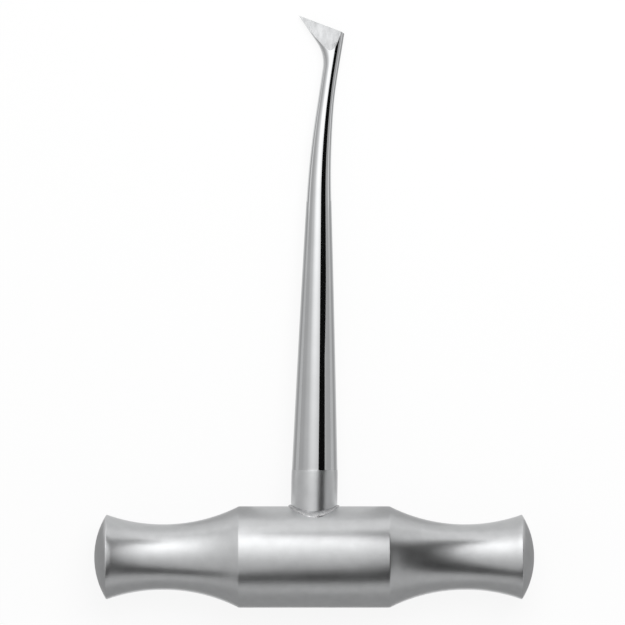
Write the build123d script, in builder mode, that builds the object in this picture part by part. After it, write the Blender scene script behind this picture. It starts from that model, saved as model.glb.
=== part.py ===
from build123d import *

import os
from math import asin, atan2, cos, hypot, radians, sin, sqrt, tan

# A dental elevator with a crossbar handle: a turned bar, a forged shank with its blade, and their weld.
# It lies on its side with the blade's flat face up. The handle's barrel and the back of the blade's
# spine touch the surface. The handle lies along X and the shank points to +Y, drooping to its tip.
# Sizes are in millimetres and angles in degrees.

# The crossbar handle is turned from one bar: a plain barrel, two waisted arms and two domed ends.
HANDLE_LENGTH = 92.8
BARREL_DIAMETER = 21.4
BARREL_LENGTH = 31.8
SHOULDER_ANGLE = 26.7  # how steeply the arm leaves the barrel's edge
WAIST_DIAMETER = 13.8
WAIST_DISTANCE = 31.9  # from the middle of the handle
FLARE_ANGLE = 19.6  # how steeply the arm reaches the rim of its dome
RIM_DIAMETER = 17.93
RIM_EDGE_BREAK = 0.45
DOME_HEIGHT = 2.55

# The shank starts as a round root in a drilled socket. It tapers straight to the start of its bend,
# and on through the bend to a slender neck.
ROOT_DIAMETER = 9.86
SOCKET_DEPTH = 9.0  # from the crown of the barrel
SOCKET_CLEARANCE = 0.02
ROOT_OUTSIDE = 7.7  # from the crown of the barrel to where the taper begins
BEND_DIAMETER = 5.6  # where the bend starts
NECK_DIAMETER = 3.6
NECK_LENGTH = 6.4  # from the end of the taper to the end of the bend

# The centre line of the shank: set off and leaning a little, then bent towards the blade's spine.
SHANK_OFFSET = 0.32
SHANK_LEAN = 0.9
BEND_START = 74.9  # from the handle's axis
BEND_RADIUS = 195.0
BEND_ANGLE = 8.2

# The blade is a pennant drawn out from the end of the shank, which carries on as its round spine.
SPINE_LENGTH = 8.42  # from the end of the bend to the end cut, along the spine's middle
BLADE_REACH = 8.44  # from the spine's middle to the tip
LOWER_EDGE_ANGLE = 43.1  # between the lower edge and the spine
EDGE_BLEND_RADIUS = 7.6
END_CUT_ANGLE = 13.1  # off square to the spine, longer on the tip's side
END_UNDERCUT_ANGLE = 8.0  # how far the end cut slopes back below the face
FACE_SLOPE_ALONG = 6.35  # the ground face sinks towards the end
FACE_SLOPE_ACROSS = 6.85  # and towards the tip

# The weld fills the corner between the barrel and the root with a low saddle-shaped bead.
BEAD_HEIGHT = 0.36
BEAD_WIDTH_SIDE = 0.42  # measured from the root, along the handle
BEAD_WIDTH_FRONT = 1.3  # measured from the root, across the handle
BEAD_EDGE_BREAK = 0.2

# How full the front of the forging is before its face is ground, as the length of its curve's handles.
ROUND_FULLNESS = 0.5523  # the neck, where the curve is a quarter of a circle
PENNANT_FULLNESS = 0.7  # the pennant, once its edge stands well out from the spine
BEND_SECTIONS = 10
BLADE_SECTIONS = 9

barrel_radius = BARREL_DIAMETER / 2
waist_radius = WAIST_DIAMETER / 2
root_radius = ROOT_DIAMETER / 2
bend_radius = BEND_DIAMETER / 2
neck_radius = NECK_DIAMETER / 2
taper_start = barrel_radius + ROOT_OUTSIDE
bend_length = BEND_RADIUS * radians(BEND_ANGLE)
bend_end = BEND_START + bend_length


def centre_line(distance):
    """The shank's centre line at a distance from the handle's axis: across, up, and its angle."""
    straight = min(distance, BEND_START)
    bent = min(max(distance - BEND_START, 0), bend_length)
    spine = max(distance - bend_end, 0)
    lean = radians(SHANK_LEAN)
    angle = lean + bent / BEND_RADIUS
    bend_across = BEND_RADIUS * (cos(lean) - cos(angle))
    bend_up = BEND_RADIUS * (sin(angle) - sin(lean))
    across = straight * sin(lean) + bend_across + spine * sin(angle) - SHANK_OFFSET
    up = straight * cos(lean) + bend_up + spine * cos(angle)
    return across, up, angle


# The tip stands further along the spine than the middle of the end cut does.
tip_along = SPINE_LENGTH + BLADE_REACH * tan(radians(END_CUT_ANGLE))
_, tip_foot_up, spine_angle = centre_line(bend_end + tip_along)
tip_up = tip_foot_up + BLADE_REACH * sin(spine_angle)

# The back of the spine at the end cut touches the surface, and that sets how much the shank droops.
heel_along = SPINE_LENGTH - neck_radius * tan(radians(END_UNDERCUT_ANGLE))
_, heel_up, _ = centre_line(bend_end + heel_along)
droop = asin(barrel_radius / hypot(heel_up, neck_radius)) - atan2(neck_radius, heel_up)

# The plane of the tool holds the handle's axis and the shank's centre line. The origin is under the
# middle of the whole tool.
handle_back = (tip_up * cos(droop) - barrel_radius) / 2
lying = Plane(
    origin=(0, -handle_back, barrel_radius),
    x_dir=(1, 0, 0),
    z_dir=(0, sin(droop), cos(droop)),
)
handle_axis = Axis(lying.origin, lying.x_dir)


def shank_plane(distance):
    """The plane square to the shank, with its X to the tip's side and its Y out of the blade's face."""
    across, up, angle = centre_line(distance)
    to_tip_side = (-cos(angle), sin(angle), 0)
    along_shank = (sin(angle), cos(angle), 0)
    return Plane(lying * Plane((across, up, 0), x_dir=to_tip_side, z_dir=along_shank))


def bend_taper(bent):
    """The shank's radius in its bend, which tapers on and ends as the even neck."""
    share = min(1, bent / (bend_length - NECK_LENGTH))
    return bend_radius + (neck_radius - bend_radius) * share


def lower_edge(along):
    """The blade's reach from its spine: the neck, a round blend, then the straight lower edge."""
    slope = radians(LOWER_EDGE_ANGLE)
    corner = tip_along - (BLADE_REACH - neck_radius) / tan(slope)
    blend = EDGE_BLEND_RADIUS * tan(slope / 2)
    blend_start = corner - blend
    if along <= blend_start:
        return neck_radius
    if along < corner + blend * cos(slope):
        rise = EDGE_BLEND_RADIUS - sqrt(EDGE_BLEND_RADIUS**2 - (along - blend_start) ** 2)
        return neck_radius + rise
    return neck_radius + (along - corner) * tan(slope)


def forging_section(plane, radius, reach):
    """A section of the forging: half a circle at the spine, and a front and a back curve to the edge."""
    drawn_out = min(1, (reach - radius) / radius)
    fullness = ROUND_FULLNESS + (PENNANT_FULLNESS - ROUND_FULLNESS) * drawn_out
    with BuildSketch(plane) as section:
        with BuildLine():
            CenterArc((0, 0), radius, 90, 180)
            Bezier((0, radius), (fullness * reach, radius), (reach, fullness * radius), (reach, 0))
            EllipticalCenterArc((0, 0), reach, radius, start_angle=270, arc_size=90)
        make_face()
    return section.sketch


def ground_plane(across_slope, front_slope, along_slope):
    """A plane through the tip for a ground face, from its normal's parts: to the tip's side, out of the
    blade's front and along the spine."""
    spine = shank_plane(bend_end + tip_along)
    normal = spine.x_dir * across_slope + spine.y_dir * front_slope + spine.z_dir * along_slope
    return Plane(spine.from_local_coords(Vector(BLADE_REACH, 0, 0)), z_dir=normal)


# Crossbar handle
waist = (WAIST_DISTANCE, waist_radius)
rim = (HANDLE_LENGTH / 2 - DOME_HEIGHT, RIM_DIAMETER / 2)
down_the_shoulder = (1, -tan(radians(SHOULDER_ANGLE)))
up_the_flare = (1, tan(radians(FLARE_ANGLE)))
root_seat = shank_plane(barrel_radius - SOCKET_DEPTH)

with BuildPart() as crossbar_handle:
    with BuildSketch(lying) as turned:
        with BuildLine():
            barrel = Line((0, barrel_radius), (BARREL_LENGTH / 2, barrel_radius))
            arm = Spline(barrel @ 1, waist, rim, tangents=(down_the_shoulder, up_the_flare))
            TangentArc((HANDLE_LENGTH / 2, 0), arm @ 1, tangent=(0, 1))
            mirror(about=Plane.YZ)
            Line((-HANDLE_LENGTH / 2, 0), (HANDLE_LENGTH / 2, 0))
        make_face()
    revolve(axis=handle_axis)
    edges_round_the_axis = crossbar_handle.edges().filter_by(Plane.YZ).group_by(Axis.X)
    chamfer(edges_round_the_axis[0] + edges_round_the_axis[-1], RIM_EDGE_BREAK)
    with BuildSketch(root_seat):
        Circle(root_radius + SOCKET_CLEARANCE)
    extrude(amount=barrel_radius, mode=Mode.SUBTRACT)
crossbar_handle.part.label = "crossbar_handle"

# Shank and blade, forged in one piece and then ground
upright = shank_plane(0)
root_foot = barrel_radius - SOCKET_DEPTH
past_the_cut = tip_along + NECK_DIAMETER

pennant = []
for station in range(BLADE_SECTIONS + 1):
    along = past_the_cut * station / BLADE_SECTIONS
    pennant.append(forging_section(shank_plane(bend_end + along), neck_radius, lower_edge(along)))

# The bend is so slight that straight stretches between its sections are smooth enough.
bend = []
for station in range(BEND_SECTIONS):
    bent = bend_length * station / BEND_SECTIONS
    with BuildSketch(shank_plane(BEND_START + bent)) as section:
        Circle(bend_taper(bent))
    bend.append(section.sketch)
bend.append(pennant[0])

ground_face = ground_plane(tan(radians(FACE_SLOPE_ACROSS)), 1, tan(radians(FACE_SLOPE_ALONG)))
end_cut = ground_plane(-tan(radians(END_CUT_ANGLE)), -tan(radians(END_UNDERCUT_ANGLE)), 1)

with BuildPart() as shank_and_blade:
    loft(pennant)
    split(bisect_by=ground_face, keep=Keep.BOTTOM)
    split(bisect_by=end_cut, keep=Keep.BOTTOM)
    loft(bend, ruled=True)
    with BuildSketch(Plane(upright.origin, x_dir=upright.x_dir, z_dir=-upright.y_dir)):
        with BuildLine():
            root = Line((root_radius, root_foot), (root_radius, taper_start))
            taper = Line(root @ 1, (bend_radius, BEND_START))
            Polyline(taper @ 1, (0, BEND_START), (0, root_foot), root @ 0)
        make_face()
    revolve(axis=Axis(upright.origin, upright.z_dir))
shank_and_blade.part.label = "shank_and_blade"

# Weld bead: a ring round the root, kept where it lies on the barrel
with BuildPart() as weld_bead:
    with BuildSketch(root_seat):
        Ellipse(root_radius + BEAD_WIDTH_SIDE, root_radius + BEAD_WIDTH_FRONT)
        Circle(root_radius, mode=Mode.SUBTRACT)
    extrude(amount=BARREL_DIAMETER)
    with BuildSketch(Plane(lying.origin, x_dir=lying.y_dir, z_dir=lying.x_dir)):
        Circle(barrel_radius + BEAD_HEIGHT)
        Circle(barrel_radius, mode=Mode.SUBTRACT)
    extrude(amount=BARREL_LENGTH / 2, both=True, mode=Mode.INTERSECT)
    crown = weld_bead.faces().sort_by(Axis(lying.origin, lying.y_dir))[-1]
    chamfer(crown.outer_wire().edges(), BEAD_EDGE_BREAK)
weld_bead.part.label = "weld_bead"

os.makedirs("parts", exist_ok=True)
export_step(crossbar_handle.part, "parts/crossbar_handle.step")
export_step(shank_and_blade.part, "parts/shank_and_blade.step")
export_step(weld_bead.part, "parts/weld_bead.step")
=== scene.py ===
# %% [markdown]
# A dental elevator with a crossbar handle. On the real object a turned steel handle, a forged shank with
# its blade, and a weld make one rigid tool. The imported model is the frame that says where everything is.
# Each visible piece is modelled again here, finer than the frame's own mesh, because a polished surface
# shows every facet in its reflections. The frame's places and overall sizes are kept.

from math import asin, atan2, cos, degrees, hypot, pi, radians, sin, sqrt, tan

import bmesh
import bpy
from mathutils import Matrix, Vector, noise


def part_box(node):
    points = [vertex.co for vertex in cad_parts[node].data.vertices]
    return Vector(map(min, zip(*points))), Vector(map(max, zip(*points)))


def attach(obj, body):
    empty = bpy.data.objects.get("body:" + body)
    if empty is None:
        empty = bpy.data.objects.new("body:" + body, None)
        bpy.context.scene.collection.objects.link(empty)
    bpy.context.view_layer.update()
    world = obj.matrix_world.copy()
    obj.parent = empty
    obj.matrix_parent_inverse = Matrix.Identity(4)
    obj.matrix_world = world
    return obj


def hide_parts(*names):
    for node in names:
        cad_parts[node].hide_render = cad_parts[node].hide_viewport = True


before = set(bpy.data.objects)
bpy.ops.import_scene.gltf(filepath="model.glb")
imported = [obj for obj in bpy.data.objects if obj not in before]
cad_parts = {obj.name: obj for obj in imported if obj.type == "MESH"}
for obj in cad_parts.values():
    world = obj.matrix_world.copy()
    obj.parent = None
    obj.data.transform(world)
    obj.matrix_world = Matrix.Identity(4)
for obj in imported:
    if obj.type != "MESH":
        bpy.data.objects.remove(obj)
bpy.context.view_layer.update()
MM = 0.001
print("frame nodes:", sorted(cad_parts))

# %% Read the handle's place from the frame
handle_low, handle_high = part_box("crossbar_handle")
handle_length = (handle_high.x - handle_low.x) / MM
barrel_radius = (handle_high.z - handle_low.z) / 2 / MM
handle_centre = (handle_low + handle_high) / 2
print(f"handle {handle_length:.1f} mm long, barrel {2 * barrel_radius:.1f} mm across")

# %% [markdown]
# The tool lies on the barrel of its handle and on the back of its blade, so the plane of the tool droops a
# little towards the tip. The droop could be typed in, but then it would be wrong after any change, so it is
# worked out from the two places that touch. Work is easier with that plane level: X along the handle, Y up
# the shank and Z out of the blade's face, in millimetres from the middle of the handle. All pieces are made
# there, and one matrix then lays each of them down.

# %% The shank's centre line, in millimetres and degrees
SHANK_OFFSET = 0.19
SHANK_LEAN = 0.9
BEND_START = 74.9
BEND_RADIUS = 195.0
BEND_ANGLE = 8.2
bend_length = BEND_RADIUS * radians(BEND_ANGLE)
bend_end = BEND_START + bend_length


def centre_line(distance):
    """The shank's centre line at a distance from the handle's axis: across, up, and its angle."""
    straight = min(distance, BEND_START)
    bent = min(max(distance - BEND_START, 0), bend_length)
    spine = max(distance - bend_end, 0)
    lean = radians(SHANK_LEAN)
    angle = lean + bent / BEND_RADIUS
    bend_across = BEND_RADIUS * (cos(lean) - cos(angle))
    bend_up = BEND_RADIUS * (sin(angle) - sin(lean))
    across = straight * sin(lean) + bend_across + spine * sin(angle) - SHANK_OFFSET
    up = straight * cos(lean) + bend_up + spine * cos(angle)
    return across, up, angle


print(f"the bend ends {bend_end:.1f} mm from the handle's axis")

# %% The droop of the tool
SPINE_LENGTH = 8.42
FRAME_NECK_RADIUS = 1.8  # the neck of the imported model, which the tool lies on
END_UNDERCUT_ANGLE = 8.0
heel_along = SPINE_LENGTH - FRAME_NECK_RADIUS * tan(radians(END_UNDERCUT_ANGLE))
_, heel_up, spine_angle = centre_line(bend_end + heel_along)
droop = asin(barrel_radius / hypot(heel_up, FRAME_NECK_RADIUS)) - atan2(FRAME_NECK_RADIUS, heel_up)
tool_to_world = Matrix.Translation(handle_centre) @ Matrix.Rotation(-droop, 4, "X") @ Matrix.Scale(MM, 4)
print(f"the tool droops {degrees(droop):.2f} degrees to its tip")

# %% [markdown]
# Modelling goes by Blender's own operators. An operator acts on everything that is selected, so two small
# helpers keep the selection clean: one starts a piece with nothing else selected, and one picks vertices
# by their place. Both leave the piece in edit mode, as a person would with the mouse. Two more helpers
# apply a modifier and lay a finished piece down.

# %% Helpers for modelling
def start_piece(name, add_primitive, **settings):
    """Adds a primitive with nothing else selected, names it and returns it in edit mode."""
    if bpy.context.mode != "OBJECT":
        bpy.ops.object.mode_set(mode="OBJECT")
    bpy.ops.object.select_all(action="DESELECT")
    add_primitive(**settings)
    piece = bpy.context.active_object
    piece.name = name
    piece.data.name = name
    bpy.ops.object.mode_set(mode="EDIT")
    return piece


def pick_vertices(piece, is_wanted):
    """Selects the vertices whose place passes the test, in edit mode, and returns how many they are."""
    bpy.ops.mesh.select_mode(type="VERT")
    bpy.ops.mesh.select_all(action="DESELECT")
    mesh = bmesh.from_edit_mesh(piece.data)
    for vertex in mesh.verts:
        vertex.select = bool(is_wanted(vertex.co))
    mesh.select_flush(True)
    bmesh.update_edit_mesh(piece.data)
    return sum(vertex.select for vertex in mesh.verts)


def apply_modifier(piece, kind, **settings):
    """Adds a modifier with its settings and applies it."""
    if bpy.context.mode != "OBJECT":
        bpy.ops.object.mode_set(mode="OBJECT")
    modifier = piece.modifiers.new(kind.title(), kind)
    for key, value in settings.items():
        setattr(modifier, key, value)
    bpy.context.view_layer.objects.active = piece
    bpy.ops.object.modifier_apply(modifier=modifier.name)


def lay_down(piece, node, crease):
    """Lays a finished piece in its place, smooths it up to a crease angle, and lets it stand for its node."""
    if bpy.context.mode != "OBJECT":
        bpy.ops.object.mode_set(mode="OBJECT")
    piece.matrix_world = tool_to_world
    bpy.ops.object.select_all(action="DESELECT")
    piece.select_set(True)
    bpy.context.view_layer.objects.active = piece
    bpy.ops.object.transform_apply(location=True, rotation=True, scale=True)
    bpy.ops.object.shade_smooth_by_angle(angle=radians(crease))
    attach(piece, "root")
    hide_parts(node)
    print(f"{piece.name}: {len(piece.data.vertices)} vertices, {len(piece.data.polygons)} faces")


# %% [markdown]
# The handle is turned from one bar. It could be a stack of cylinders and cones, but then the waists would
# show joints, so it is modelled as a lathe makes it: the outline on one side of its axis is a chain of
# vertices from end to end, and the chain is spun about the axis. The waisted arms are one arc each, and the
# ends are low domes.

# %% The outline of half the handle, in millimetres
BARREL_HALF_LENGTH = 15.9
WAIST_RADIUS = 6.9
WAIST_DISTANCE = 31.9
DOME_HEIGHT = 2.55
ARM_STEPS = 22
DOME_STEPS = 8
waist_depth = barrel_radius - WAIST_RADIUS
waist_span = WAIST_DISTANCE - BARREL_HALF_LENGTH
arm_sweep = (waist_span**2 + waist_depth**2) / (2 * waist_depth)
rim_distance = handle_length / 2 - DOME_HEIGHT


def arm_radius(distance):
    """The radius of the waisted arm at a distance from the middle of the handle."""
    return WAIST_RADIUS + arm_sweep - sqrt(arm_sweep**2 - (distance - WAIST_DISTANCE) ** 2)


def half_outline():
    """Points from the middle of the barrel to the middle of the domed end."""
    points = [(0, barrel_radius), (BARREL_HALF_LENGTH / 2, barrel_radius)]
    for step in range(ARM_STEPS + 1):
        distance = BARREL_HALF_LENGTH + (rim_distance - BARREL_HALF_LENGTH) * step / ARM_STEPS
        points.append((distance, arm_radius(distance)))
    rim_radius = arm_radius(rim_distance)
    dome_radius = (rim_radius**2 + DOME_HEIGHT**2) / (2 * DOME_HEIGHT)
    dome_angle = asin(rim_radius / dome_radius)
    for step in range(DOME_STEPS - 1, -1, -1):
        angle = dome_angle * step / DOME_STEPS
        points.append((handle_length / 2 - dome_radius * (1 - cos(angle)), dome_radius * sin(angle)))
    return points


print(f"arms: arcs of {arm_sweep:.1f} mm radius, {2 * arm_radius(rim_distance):.1f} mm across at the rim")

# %% Turn the handle
TURNING_STEPS = 144
EDGE_BREAK = 0.16  # on every edge of the turning: both rims and both ends of the barrel

right_half = half_outline()
left_half = [(-distance, radius) for distance, radius in reversed(right_half[1:])]
outline = [Vector((distance, radius, 0)) for distance, radius in left_half + right_half]
handle = start_piece("handle", bpy.ops.mesh.primitive_plane_add, size=1, location=outline[0])
bpy.ops.object.mode_set(mode="OBJECT")
bpy.ops.object.transform_apply(location=True, rotation=True, scale=True)
bpy.ops.object.mode_set(mode="EDIT")
bpy.ops.mesh.merge(type="CENTER")
for here, there in zip(outline, outline[1:]):
    bpy.ops.mesh.extrude_region_move(TRANSFORM_OT_translate={"value": there - here})
bpy.ops.mesh.select_all(action="SELECT")
bpy.ops.mesh.spin(steps=TURNING_STEPS, angle=2 * pi, center=(0, 0, 0), axis=(1, 0, 0))
bpy.ops.mesh.select_all(action="SELECT")
bpy.ops.mesh.remove_doubles(threshold=0.001)
bpy.ops.mesh.normals_make_consistent(inside=False)
apply_modifier(handle, "BEVEL", width=EDGE_BREAK, segments=3, limit_method="ANGLE", angle_limit=radians(18))
lay_down(handle, "crossbar_handle", crease=35)

# %% [markdown]
# The shank is forged from one bar: a root in the handle's socket, a long taper and a slender neck. A loft of
# curves would do, but a ring of vertices carried up the shank is closer to how the bar is drawn out. Each
# extrusion carries the ring on, and a resize makes it thinner. Two rings close together keep an edge crisp
# when the mesh is subdivided later, and the step where the polish starts needs them.

# %% How thick the shank is, in millimetres
ROOT_RADIUS = 4.88
POLISHED_RADIUS = 4.8
NECK_RADIUS = 1.66
NECK_LENGTH = 5.6
TAPER_SWELL = 0.12
ROOT_OUTSIDE = 7.7
taper_start = barrel_radius + ROOT_OUTSIDE
taper_length = bend_end - NECK_LENGTH - taper_start


def shank_radius(distance):
    """The shank's radius at a distance from the handle's axis: root, swelling taper and neck."""
    if distance < taper_start:
        return ROOT_RADIUS
    share = min((distance - taper_start) / taper_length, 1)
    straight_cone = POLISHED_RADIUS + (NECK_RADIUS - POLISHED_RADIUS) * share
    return straight_cone + TAPER_SWELL * (1 - (2 * share - 1) ** 2)


print(f"the taper runs {taper_length:.1f} mm, from {taper_start:.1f} mm off the handle's axis")

# %% Where the rings go
SOCKET_DEPTH = 9.0
BLADE_REACH = 8.44
END_CUT_ANGLE = 13.1
TAPER_RINGS = 10
BEND_RINGS = 9
BLADE_RINGS = 22
CRISP_GAP = 0.4
root_end = barrel_radius - SOCKET_DEPTH
tip_along = SPINE_LENGTH + BLADE_REACH * tan(radians(END_CUT_ANGLE))
past_the_tip = tip_along + 2 * NECK_RADIUS

stations = [root_end, root_end + CRISP_GAP, barrel_radius]
stations += [taper_start - CRISP_GAP / 2, taper_start, taper_start + CRISP_GAP]
stations += [taper_start + (BEND_START - taper_start) * ring / TAPER_RINGS for ring in range(1, TAPER_RINGS)]
stations += [BEND_START + bend_length * ring / BEND_RINGS for ring in range(BEND_RINGS)]
stations += [bend_end + past_the_tip * ring / BLADE_RINGS for ring in range(BLADE_RINGS + 1)]
print(len(stations), "rings from the root to past the tip")

# %% Draw the shank up from its root
RING_POINTS = 32
smoothing_shrink = (4 + 2 * cos(2 * pi / RING_POINTS)) / 6  # how much subdivision pulls a ring in

shank = start_piece(
    "shank_with_blade",
    bpy.ops.mesh.primitive_circle_add,
    vertices=RING_POINTS,
    radius=ROOT_RADIUS / smoothing_shrink,
    fill_type="NGON",
    rotation=(pi / 2, 0, 0),
    location=(0, root_end, 0),
)
bpy.ops.object.mode_set(mode="OBJECT")
bpy.ops.object.transform_apply(location=True, rotation=True, scale=True)
bpy.ops.object.mode_set(mode="EDIT")
bpy.ops.mesh.select_all(action="SELECT")
for here, there in zip(stations, stations[1:]):
    bpy.ops.mesh.extrude_region_move(TRANSFORM_OT_translate={"value": (0, there - here, 0)})
    thinner = shank_radius(there) / shank_radius(here)
    bpy.ops.transform.resize(value=(thinner, 1, thinner), center_override=(0, there, 0))

# %% [markdown]
# The blade is a pennant: the forging is drawn out to one side, and the round spine stays. Moving the last
# rings' vertices out on the tip's side does the same. They go out as far as the edge's outline says. The
# front stays full while the back thins like an ellipse, because the face is ground out of that full front.

# %% Draw the blade out on the tip's side
LOWER_EDGE_ANGLE = 43.1
EDGE_BLEND_RADIUS = 7.6
FACE_FULLNESS = 0.78  # under 1, the front stands fuller than an ellipse


def blade_reach(along):
    """The blade's reach from its spine: the neck, a round blend, then the straight lower edge."""
    slope = radians(LOWER_EDGE_ANGLE)
    corner = tip_along - (BLADE_REACH - NECK_RADIUS) / tan(slope)
    blend = EDGE_BLEND_RADIUS * tan(slope / 2)
    blend_start = corner - blend
    if along <= blend_start:
        return NECK_RADIUS
    if along < corner + blend * cos(slope):
        rise = EDGE_BLEND_RADIUS - sqrt(EDGE_BLEND_RADIUS**2 - (along - blend_start) ** 2)
        return NECK_RADIUS + rise
    return NECK_RADIUS + (along - corner) * tan(slope)


ring_radius = NECK_RADIUS / smoothing_shrink
mesh = bmesh.from_edit_mesh(shank.data)
for vertex in mesh.verts:
    reach = blade_reach(vertex.co.y - bend_end)
    if vertex.co.x >= 0 or reach <= NECK_RADIUS:
        continue
    drawn_out = min(1, (reach - NECK_RADIUS) / NECK_RADIUS)
    fullness = 1 + (FACE_FULLNESS - 1) * drawn_out if vertex.co.z > 0 else 1
    side = min(1, abs(vertex.co.x) / ring_radius)
    front = min(1, abs(vertex.co.z) / ring_radius)
    vertex.co.x = -(reach / smoothing_shrink) * side**fullness
    if vertex.co.z > 0:
        vertex.co.z = ring_radius * front**fullness
bmesh.update_edit_mesh(shank.data)
print(f"the lower edge reaches {blade_reach(tip_along):.2f} mm out at the tip")

# %% [markdown]
# The upper part of the shank is bent a little, away from the tip's side. A curve modifier could bend it, but
# turning everything past one place, then everything past the place before it, needs no second object and
# leaves the rings square to the bend.

# %% Bend the neck, ring by ring from the far end, then lean the whole shank
for ring in range(BEND_RINGS, 0, -1):
    pivot = BEND_START + bend_length * (ring - 0.5) / BEND_RINGS
    pick_vertices(shank, lambda co: co.y > pivot)
    bpy.ops.transform.rotate(
        value=radians(BEND_ANGLE) / BEND_RINGS, orient_axis="Z", center_override=(0, pivot, 0)
    )
bpy.ops.mesh.select_all(action="SELECT")
bpy.ops.transform.rotate(value=radians(SHANK_LEAN), orient_axis="Z", center_override=(0, 0, 0))
bpy.ops.transform.translate(value=(-SHANK_OFFSET, 0, 0))
bpy.ops.mesh.normals_make_consistent(inside=False)
apply_modifier(shank, "SUBSURF", levels=2, render_levels=2)
far_end = max(vertex.co.y for vertex in shank.data.vertices)
print(f"before grinding, the shank reaches {far_end:.2f} mm up")

# %% [markdown]
# The maker then grinds the blade: one flat face that slopes away towards the tip and towards the end, and
# one end that slopes back under the face. Both planes pass through the tip. A boolean would need two more
# solids, and a bisect with its fill is what a grinding wheel does: it takes off all beyond a plane.
#
# The fill starts its face at another corner each run. The triangles of a face with a hundred corners, and
# with them its shading, depend on the corner that comes first. Both faces are made anew from their lowest
# corner on, so that each run gives the same result.

# %% Grind the face and the end
FACE_SLOPE_ALONG = 6.35
FACE_SLOPE_ACROSS = 6.85
MOST_SIDE_CORNERS = 8  # of a small face that a cut has trimmed
across, up, _ = centre_line(bend_end + tip_along)
to_tip_side = Vector((-cos(spine_angle), sin(spine_angle), 0))
along_spine = Vector((sin(spine_angle), cos(spine_angle), 0))
out_of_face = Vector((0, 0, 1))
tip = Vector((across, up, 0)) + BLADE_REACH * to_tip_side


def grind(piece, normal):
    """Cuts away what lies beyond a plane through the tip and closes the cut with one flat face."""
    bpy.ops.object.mode_set(mode="EDIT")
    bpy.ops.mesh.select_all(action="SELECT")
    bpy.ops.mesh.bisect(plane_co=tip, plane_no=normal, use_fill=True, clear_outer=True, threshold=0.0005)
    bpy.ops.object.mode_set(mode="OBJECT")


def start_at_the_foot(piece):
    """Makes the ground faces anew on the same corners, each with its lowest corner first."""
    bpy.ops.object.mode_set(mode="EDIT")
    mesh = bmesh.from_edit_mesh(piece.data)
    for face in [face for face in mesh.faces if len(face.verts) > MOST_SIDE_CORNERS]:
        corners = list(face.verts)
        first = corners.index(min(corners, key=lambda vertex: vertex.co.y))
        mesh.faces.remove(face)
        mesh.faces.new(corners[first:] + corners[:first])
    bmesh.update_edit_mesh(piece.data)
    bpy.ops.object.mode_set(mode="OBJECT")


face_normal = (
    to_tip_side * tan(radians(FACE_SLOPE_ACROSS)) + out_of_face + along_spine * tan(radians(FACE_SLOPE_ALONG))
).normalized()
end_normal = (
    -to_tip_side * tan(radians(END_CUT_ANGLE)) - out_of_face * tan(radians(END_UNDERCUT_ANGLE)) + along_spine
).normalized()
grind(shank, face_normal)
grind(shank, end_normal)
start_at_the_foot(shank)
print("after grinding, the tip is at", [round(value, 2) for value in tip])
lay_down(shank, "shank_and_blade", crease=30)

# %% [markdown]
# The weld is a low bead of filler metal in the corner between the barrel and the root. It starts as a torus.
# Its points move out round the root, and each sinks by as much as the barrel's round side falls away there,
# which makes the saddle. A boolean with the barrel would cut that shape too, but with ragged edges. A slow
# ripple gives the uneven run of a bead laid by hand.

# %% Sizes of the weld bead, in millimetres unless they are a share
BEAD_AROUND = 120
BEAD_SECTION = 14
BEAD_HALF_THICKNESS = 0.46
BEAD_OFF_SIDE = 0.1  # from the root to the middle of the bead, along the handle
BEAD_OFF_FRONT = 0.5  # and in front of the root
BEAD_SPREAD = 0.7  # how far the bead's section is stretched towards the front and the back
BEAD_FRONT_SPREAD = 1.5  # and what is added to that straight in front of the root and behind it
BEAD_HEIGHT_SHARE = 0.8
LEAN_AT_CROWN = 0.15  # about how far across the lean carries the root by the barrel's crown
RIPPLE_DEPTH = 0.28
RIPPLE_TURN = 2.2
RIPPLE_LEVEL = 4.7

# %% Lay the weld bead
bead_side = ROOT_RADIUS + BEAD_OFF_SIDE
bead_front = ROOT_RADIUS + BEAD_OFF_FRONT
bead = start_piece(
    "weld",
    bpy.ops.mesh.primitive_torus_add,
    major_segments=BEAD_AROUND,
    minor_segments=BEAD_SECTION,
    major_radius=1,
    minor_radius=BEAD_HALF_THICKNESS,
    rotation=(pi / 2, 0, 0),
    location=(0, 0, 0),
)
bpy.ops.object.mode_set(mode="OBJECT")
bpy.ops.object.transform_apply(location=True, rotation=True, scale=True)
for vertex in bead.data.vertices:
    around = atan2(vertex.co.z, vertex.co.x)
    out = hypot(vertex.co.x, vertex.co.z) - 1
    ripple = noise.noise(Vector((cos(around) * RIPPLE_TURN, sin(around) * RIPPLE_TURN, RIPPLE_LEVEL)))
    swell = 1 + RIPPLE_DEPTH * ripple
    spread = BEAD_FRONT_SPREAD * abs(sin(around)) + BEAD_SPREAD
    across = (bead_side + out * swell) * cos(around)
    deep = (bead_front + out * spread * swell) * sin(around)
    fall = barrel_radius - sqrt(max(barrel_radius**2 - deep**2, 0))
    up = barrel_radius - fall + vertex.co.y * BEAD_HEIGHT_SHARE * swell
    vertex.co = Vector((across - SHANK_OFFSET + LEAN_AT_CROWN, up, deep))
apply_modifier(bead, "SUBSURF", levels=1, render_levels=1)
lay_down(bead, "weld_bead", crease=60)

# %% [markdown]
# All three pieces are stainless steel, and only the way each surface was worked differs. So one function
# makes every finish, from the same three things that the eye reads: a tone that drifts a little, a roughness
# that drifts with it, and a fine grain as bump. An image texture could give them, but noise at a real size
# has no seams. One helper turns a colour as it is written for a screen into the linear value that Blender
# works with, and another adds one node with its settings and its links.

# %% Helpers for the finishes
def linear(code):
    """An sRGB hex colour as linear red, green, blue and alpha."""
    channels = [int(code[place : place + 2], 16) / 255 for place in (1, 3, 5)]
    return [c / 12.92 if c <= 0.04045 else ((c + 0.055) / 1.055) ** 2.4 for c in channels] + [1.0]


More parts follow.
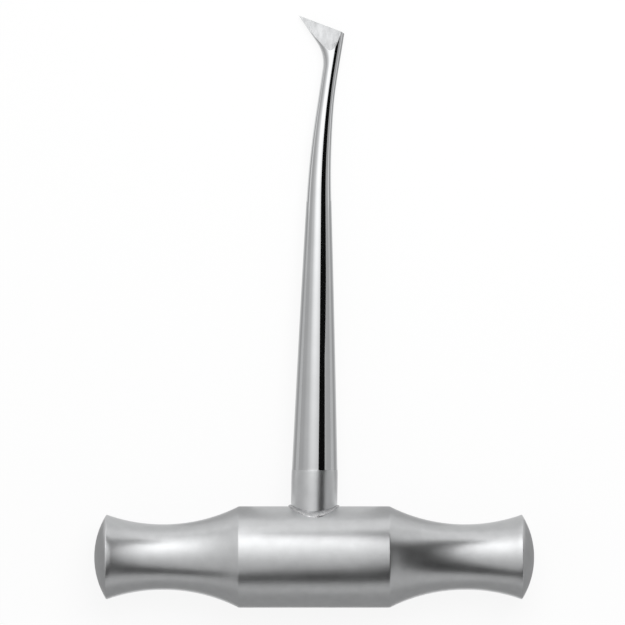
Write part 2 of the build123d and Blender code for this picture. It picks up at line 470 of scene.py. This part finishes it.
def add_node(tree, kind, links=(), **settings):
    """Adds a node, sets its sockets and properties, and links sockets of other nodes to it."""
    node = tree.nodes.new(kind)
    for key, value in settings.items():
        if hasattr(node, key):
            setattr(node, key, value)
        else:
            node.inputs[key.replace("_", " ").title()].default_value = value
    for output, name in links:
        tree.links.new(output, node.inputs[name])
    return node


def start_material(name):
    """A new material and its empty tree."""
    material = bpy.data.materials.new(name)
    material.use_nodes = True
    material.node_tree.nodes.clear()
    return material, material.node_tree


# %% A noise with a real size
NOISE_LOW = 0.3
NOISE_HIGH = 0.7  # most of the noise lies between these two


def noise_between(tree, size, low, high, detail=2.0, stretch=(1, 1, 1), turn=0.0):
    """A noise whose spots are about size millimetres wide, as a number that swings from low to high.

    A stretch under 1 draws the spots out along that axis. The turn then swings them off the noise's own
    grid, which would show in drawn-out spots.
    """
    place = add_node(tree, "ShaderNodeTexCoord").outputs["Object"]
    laid = add_node(tree, "ShaderNodeMapping", [(place, "Vector")], Rotation=(0, 0, turn), Scale=stretch)
    spots = add_node(
        tree,
        "ShaderNodeTexNoise",
        [(laid.outputs[0], "Vector")],
        Scale=1 / (size * MM),
        Detail=detail,
    )
    swing = add_node(
        tree,
        "ShaderNodeMapRange",
        [(spots.outputs[0], "Value")],
        From_Min=NOISE_LOW,
        From_Max=NOISE_HIGH,
        To_Min=low,
        To_Max=high,
    )
    return swing.outputs[0]


# %% One function for every finish of the steel
TONE_DETAIL = 3.0
SHEEN_PATCH = 1.7  # how much wider the patches of roughness are than those of tone


def steel(name, dark, light, mottle, roughness, grain, turn=0.0, stretch=(1, 1, 1)):
    """Stainless steel: a tone that drifts from dark to light, a drifting roughness and a fine grain.

    Mottle and the two numbers of grain, its width and depth, are in millimetres.
    """
    material, tree = start_material(name)
    drift = noise_between(tree, mottle, 0, 1, detail=TONE_DETAIL, stretch=stretch, turn=turn)
    tone = add_node(tree, "ShaderNodeMix", [(drift, 0)], data_type="RGBA")
    tone.inputs[6].default_value = linear(dark)  # the first colour socket of a mix node
    tone.inputs[7].default_value = linear(light)  # and the second one
    sheen = noise_between(tree, mottle * SHEEN_PATCH, roughness[0], roughness[1], stretch=stretch, turn=turn)
    grain_size, grain_depth = grain
    fine = noise_between(tree, grain_size, 0, 1, stretch=stretch, turn=turn)
    relief = add_node(tree, "ShaderNodeBump", [(fine, "Height")], Strength=1.0, Distance=grain_depth * MM)
    shader = add_node(
        tree,
        "ShaderNodeBsdfPrincipled",
        [(tone.outputs[2], "Base Color"), (sheen, "Roughness"), (relief.outputs[0], "Normal")],
        Metallic=1.0,
    )
    add_node(tree, "ShaderNodeOutputMaterial", [(shader.outputs[0], "Surface")])
    print(f"{name}: mottled at {mottle} mm, grain of {grain_size} mm, roughness {roughness}")
    return material


# %% The four finishes
# Bead blasting leaves craters of about 0.05 mm. They spread every highlight into a soft band and leave no
# mirror image. They are too fine to show, so the grain is drawn at 0.25 mm, a little over a pixel.
satin = steel("bead_blasted_stainless_steel", "#CCCDCE", "#D3D4D5", 2.2, (0.3, 0.33), (0.25, 0.005))

# A mirror polish by hand leaves no grain, only waves a few millimetres wide. The eye sees hard dark and
# light stripes down the shank, with a slight waver in them.
polished = steel("mirror_polished_stainless_steel", "#C6C7C8", "#CBCCCD", 6.0, (0.04, 0.07), (2.5, 0.0006))

# The grinding wheel leaves lines along the blade, about 0.03 mm apart. They give a pale even sheen with no
# mirror image. They are too fine to show, so they are drawn 0.12 mm wide and over five times as long.
ground = steel(
    "fine_ground_stainless_steel",
    "#B6B7B8",
    "#C8C9CA",
    0.6,
    (0.4, 0.46),
    (0.12, 0.002),
    turn=0.5,
    stretch=(1, 0.18, 1),
)

# Filler metal sets in small waves and is only brushed clean, so it glints in uneven spots.
bright = steel("weld_filler_steel", "#B0B1B2", "#D0D0D1", 0.8, (0.18, 0.3), (0.35, 0.02))

# %% [markdown]
# The shank is one forging with three finishes: the root is blasted like the handle, the taper, neck and
# spine are polished, and the face and end are ground. One mesh can hold them all, with a finish for each
# polygon. The ground faces are known by their normal and the root by its place.

# %% Give the pieces their finishes
SAME_DIRECTION = 0.9999  # the cosine from which two normals count as one
shank_finishes = [polished, satin, ground]
handle.data.materials.append(satin)
bead.data.materials.append(bright)
for finish in shank_finishes:
    shank.data.materials.append(finish)
world_to_tool = tool_to_world.inverted()
face_in_world = (tool_to_world.to_3x3() @ face_normal).normalized()
end_in_world = (tool_to_world.to_3x3() @ end_normal).normalized()
for polygon in shank.data.polygons:
    is_face = polygon.normal.dot(face_in_world) > SAME_DIRECTION
    is_end = polygon.normal.dot(end_in_world) > SAME_DIRECTION
    place = world_to_tool @ polygon.center
    if is_face or is_end:
        polygon.material_index = shank_finishes.index(ground)
    elif place.y < taper_start:
        polygon.material_index = shank_finishes.index(satin)
for number, finish in enumerate(shank_finishes):
    faces = sum(polygon.material_index == number for polygon in shank.data.polygons)
    print(f"{faces} polygons of the shank are {finish.name}")

# %% [markdown]
# The floor is plain white paper. A floor that is only lit would look grey, and more light would burn the
# steel out. So what the camera and the mirror images see of it is mostly a plain white of strength 1, and
# the rest is lit paper, which keeps the tool's shadow. The light that falls back on the tool is the paper's.

# %% Floor
FLOOR_SIZE = 3.0
BACKLIT_SHARE = 0.86
floor = start_piece("floor", bpy.ops.mesh.primitive_plane_add, size=FLOOR_SIZE, location=(0, 0, 0))
bpy.ops.object.mode_set(mode="OBJECT")
floor_material, floor_tree = start_material("white_sweep")
paper = add_node(floor_tree, "ShaderNodeBsdfDiffuse", Color=linear("#F2F2F2"))
backlit = add_node(floor_tree, "ShaderNodeEmission", Color=(1, 1, 1, 1), Strength=1.0)
ray = add_node(floor_tree, "ShaderNodeLightPath").outputs
seen_or_mirrored = add_node(
    floor_tree,
    "ShaderNodeMath",
    [(ray["Is Camera Ray"], 0), (ray["Is Glossy Ray"], 1)],
    operation="MAXIMUM",
)
not_lighting = add_node(
    floor_tree,
    "ShaderNodeMath",
    [(seen_or_mirrored.outputs[0], 0), (ray["Is Transmission Ray"], 1)],
    operation="MAXIMUM",
)
share = add_node(floor_tree, "ShaderNodeMath", [(not_lighting.outputs[0], 0)], operation="MULTIPLY")
share.inputs[1].default_value = BACKLIT_SHARE
lift = add_node(
    floor_tree,
    "ShaderNodeMixShader",
    [(share.outputs[0], 0), (paper.outputs[0], 1), (backlit.outputs[0], 2)],
)
add_node(floor_tree, "ShaderNodeOutputMaterial", [(lift.outputs[0], "Surface")])
floor.data.materials.append(floor_material)
print(f"the floor is {FLOOR_SIZE} m wide and shows as {BACKLIT_SHARE:.0%} plain white")

# %% [markdown]
# The world is a white studio. It shows as white, and it lights dull surfaces at a lower strength, so that a
# colour renders about as it is written.

# %% World
WORLD_LIGHT = 0.62
world = bpy.data.worlds.new("studio")
bpy.context.scene.world = world
world.use_nodes = True
world_tree = world.node_tree
world_tree.nodes.clear()
white = add_node(world_tree, "ShaderNodeBackground", Color=(1, 1, 1, 1), Strength=1.0)
dim = add_node(world_tree, "ShaderNodeBackground", Color=(1, 1, 1, 1), Strength=WORLD_LIGHT)
ray = add_node(world_tree, "ShaderNodeLightPath").outputs
lit = add_node(
    world_tree,
    "ShaderNodeMixShader",
    [(ray["Is Diffuse Ray"], 0), (white.outputs[0], 1), (dim.outputs[0], 2)],
)
add_node(world_tree, "ShaderNodeOutputWorld", [(lit.outputs[0], "Surface")])
print("world light on dull surfaces:", WORLD_LIGHT)


# %% [markdown]
# One large soft lamp above the tool gives the floor its faint shadow. The steel doesn't mirror the lamp,
# because its bright spot would sit among the tent's own reflections.

# %% Lamp
def in_world(across, up, out):
    """A place in the plane of the tool, in millimetres, as a place in the world, in metres."""
    return tool_to_world @ Vector((across, up, out))


KEY_PLACE = (40, 160, 330)
KEY_TARGET = (0, 30, 0)
KEY_SIZE = 260
KEY_POWER = 0.75
key_light = bpy.data.lights.new("key", "AREA")
key_light.shape = "DISK"
key_light.size = KEY_SIZE * MM
key_light.energy = KEY_POWER
key = bpy.data.objects.new("key", key_light)
bpy.context.scene.collection.objects.link(key)
key.location = in_world(*KEY_PLACE)
key.rotation_euler = (in_world(*KEY_TARGET) - key.location).to_track_quat("-Z", "Y").to_euler()
key.visible_camera = False
key.visible_glossy = False
print(f"key lamp: {KEY_SIZE} mm wide, {key.location.z:.2f} m above the floor")

# %% [markdown]
# Polished steel has hardly a look of its own: what it mirrors is what the eye sees. A photographer puts it in
# a light tent, a white cloth box with soft pools of light, and hangs dark cards in it where the metal should
# show a dark line. The same is built here from plain cards that only mirror rays meet, so they light nothing
# and cast no shadow. Painting stripes on the steel would look right from one side only.

# %% Helpers for the tent and its cards
def hang_card(name, faces, material):
    """A card from corner points in the plane of the tool, which the metal mirrors and nothing else sees."""
    mesh = bpy.data.meshes.new(name)
    cards = bmesh.new()
    for corners in faces:
        cards.faces.new([cards.verts.new(corner) for corner in corners])
    cards.to_mesh(mesh)
    cards.free()
    card = bpy.data.objects.new(name, mesh)
    bpy.context.scene.collection.objects.link(card)
    card.matrix_world = tool_to_world
    mesh.materials.append(material)
    card.visible_camera = False
    card.visible_diffuse = False
    card.visible_transmission = False
    card.visible_volume_scatter = False
    card.visible_shadow = False
    print(f"{name}: {len(mesh.polygons)} faces")


def grey_card_material(name, strength):
    """Card of one grey: a strength of 1 shows in the metal as nearly white."""
    material, tree = start_material(name)
    shader = add_node(tree, "ShaderNodeEmission", Color=(1, 1, 1, 1), Strength=strength)
    add_node(tree, "ShaderNodeOutputMaterial", [(shader.outputs[0], "Surface")])
    return material


def pool_of_light(tree, centre, spread, strength):
    """A soft pool of light on the tent's cloth, of full strength at its centre and none at its spread."""
    place = add_node(tree, "ShaderNodeTexCoord").outputs["Object"]
    scaled = add_node(
        tree,
        "ShaderNodeMapping",
        [(place, "Vector")],
        vector_type="TEXTURE",
        Location=centre,
        Scale=spread,
    )
    falloff = add_node(
        tree,
        "ShaderNodeTexGradient",
        [(scaled.outputs[0], "Vector")],
        gradient_type="SPHERICAL",
    )
    soft = add_node(
        tree,
        "ShaderNodeMapRange",
        [(falloff.outputs[1], "Value")],
        interpolation_type="SMOOTHSTEP",
        To_Max=strength,
    )
    return soft.outputs[0]


# %% The cloth of the tent: a base and three pools of light
TENT_BASE = 0.55
ANY_HEIGHT = 1e6  # a pool's spread out of the plane, so large that height makes no difference
tent_material, tent_tree = start_material("light_tent")
pools = [
    pool_of_light(tent_tree, (-30, 165, 0), (165, 225, ANY_HEIGHT), 0.95),
    pool_of_light(tent_tree, (-20, 170, 0), (520, 330, ANY_HEIGHT), 0.33),
    pool_of_light(tent_tree, (0, 420, 0), (600, 420, ANY_HEIGHT), 0.75),
]
glow = pools[0]
for pool in pools[1:]:
    glow = add_node(tent_tree, "ShaderNodeMath", [(glow, 0), (pool, 1)], operation="ADD").outputs[0]
cloth = add_node(tent_tree, "ShaderNodeMath", [(glow, 0)], operation="ADD")
cloth.inputs[1].default_value = TENT_BASE
emitter = add_node(tent_tree, "ShaderNodeEmission", [(cloth.outputs[0], "Strength")])
add_node(tent_tree, "ShaderNodeOutputMaterial", [(emitter.outputs[0], "Surface")])

# %% The tent: a roof and four walls, in millimetres
TENT_ACROSS = (-420, 420)
TENT_UP = (-420, 620)
TENT_OUT = (-60, 186)
left, right = TENT_ACROSS
front, back = TENT_UP
foot, roof = TENT_OUT
hang_card(
    "light_tent",
    [
        [(left, front, roof), (right, front, roof), (right, back, roof), (left, back, roof)],
        [(left, front, foot), (left, front, roof), (left, back, roof), (left, back, foot)],
        [(right, front, foot), (right, front, roof), (right, back, roof), (right, back, foot)],
        [(left, front, foot), (right, front, foot), (right, front, roof), (left, front, roof)],
        [(left, back, foot), (right, back, foot), (right, back, roof), (left, back, roof)],
    ],
    tent_material,
)

# %% [markdown]
# The dark stripe down the shank is the image of a black card under the tent's roof. The shank curves away at
# its neck, and the stripe follows it only if the card is curved as well, so it is a piece of a ring. A tail
# beyond the ring adds to the dark band on the right arm.

# %% Black flag, in millimetres and degrees
FLAG_OUT = 184  # just under the roof
FLAG_CENTRE = (-160, 60)
FLAG_INNER = 225
FLAG_OUTER = 400
FLAG_START = -120
FLAG_END = 60
FLAG_STEPS = 48
FLAG_TAIL = [(150, 56), (238, 56), (385, 84), (385, 250), (230, 170)]
BLACK_STRENGTH = 0.006


def ring_sector():
    """Faces of the flag's curved part, between its inner and its outer radius."""
    rays = []
    for step in range(FLAG_STEPS + 1):
        angle = radians(FLAG_START + (FLAG_END - FLAG_START) * step / FLAG_STEPS)
        rays.append(
            [
                (FLAG_CENTRE[0] + radius * cos(angle), FLAG_CENTRE[1] + radius * sin(angle), FLAG_OUT)
                for radius in (FLAG_INNER, FLAG_OUTER)
            ]
        )
    return [[here[0], here[1], there[1], there[0]] for here, there in zip(rays, rays[1:])]


flag_tail = [(across, up, FLAG_OUT) for across, up in FLAG_TAIL]
hang_card("black_flag", ring_sector() + [flag_tail], grey_card_material("black_card", BLACK_STRENGTH))

# %% [markdown]
# Grey cards near the floor take the place of the white paper in the lower flanks of the metal. Without them
# the handle's edges and the shank's sides would mirror white and melt into the background. The front card
# rises like a ramp, with a strip beyond each end of the handle for the domes. The back card starts just above
# the floor behind the handle and dips below it two thirds of the way up the shank, where the paper shows.

# %% Grey cards, in millimetres
CARD_SIDE = 300
GAP_FRONT = (-15, -9.8)  # up and out, at the front edge of the gap that the handle lies in
GAP_BACK = (11, -9.8)
GAP_SIDE = 47.5
RAMP_TOP = (-410, 22)
BACK_CARD_NEAR = (11, -9.75)
BACK_CARD_FAR = (420, 22.6)
SHANK_CARD_LEFT = [(-13.5, 13, -9.2), (-4.6, 108, -1.6), (-14, 108, -1.6), (-30, 13, -9.2)]
SHANK_CARD_RIGHT = [(13.5, 13, -9.2), (5.6, 112, -1.2), (14, 112, -1.2), (30, 13, -9.2)]
FRONT_STRENGTH = 0.36
BACK_STRENGTH = 0.72
SHANK_STRENGTH = 0.5


def four_corners(left, right, near, far):
    """A card from left to right, between a near and a far edge that are each given as up and out."""
    return [(left, *near), (right, *near), (right, *far), (left, *far)]


front_faces = [
    four_corners(-CARD_SIDE, CARD_SIDE, GAP_FRONT, RAMP_TOP),
    four_corners(-CARD_SIDE, -GAP_SIDE, GAP_BACK, GAP_FRONT),
    four_corners(GAP_SIDE, CARD_SIDE, GAP_BACK, GAP_FRONT),
]
back_faces = [four_corners(-CARD_SIDE, CARD_SIDE, BACK_CARD_NEAR, BACK_CARD_FAR)]
hang_card("front_card", front_faces, grey_card_material("front_card", FRONT_STRENGTH))
hang_card("back_card", back_faces, grey_card_material("back_card", BACK_STRENGTH))
shank_faces = [SHANK_CARD_LEFT, SHANK_CARD_RIGHT]
hang_card("shank_cards", shank_faces, grey_card_material("shank_cards", SHANK_STRENGTH))

# %% [markdown]
# The photo looks square at the plane of the tool from far away. A long lens does the same here: it is placed
# over the point that the photo's middle shows, and its view is as wide as the photo at its own scale.

# %% Camera
PHOTO_PIXELS = 625
HANDLE_PIXEL = (314.2, 557)  # where the photo shows the middle of the handle
MM_PER_PIXEL = 0.211
CAMERA_DISTANCE = 1300
middle_across = (PHOTO_PIXELS / 2 - HANDLE_PIXEL[0]) * MM_PER_PIXEL
middle_up = (HANDLE_PIXEL[1] - PHOTO_PIXELS / 2) * MM_PER_PIXEL
camera_data = bpy.data.cameras.new("camera")
camera = bpy.data.objects.new("camera", camera_data)
bpy.context.scene.collection.objects.link(camera)
camera.location = in_world(middle_across, middle_up, CAMERA_DISTANCE)
camera.rotation_euler = (-droop, 0, 0)
camera_data.sensor_width = 36
camera_data.lens = camera_data.sensor_width * CAMERA_DISTANCE / (PHOTO_PIXELS * MM_PER_PIXEL)
bpy.context.scene.camera = camera
print(f"camera: {camera_data.lens:.0f} mm lens, {CAMERA_DISTANCE / 1000} m away")

# %% [markdown]
# Colours are shown as they are, with no film look.

# %% View
bpy.context.scene.view_settings.view_transform = "Standard"
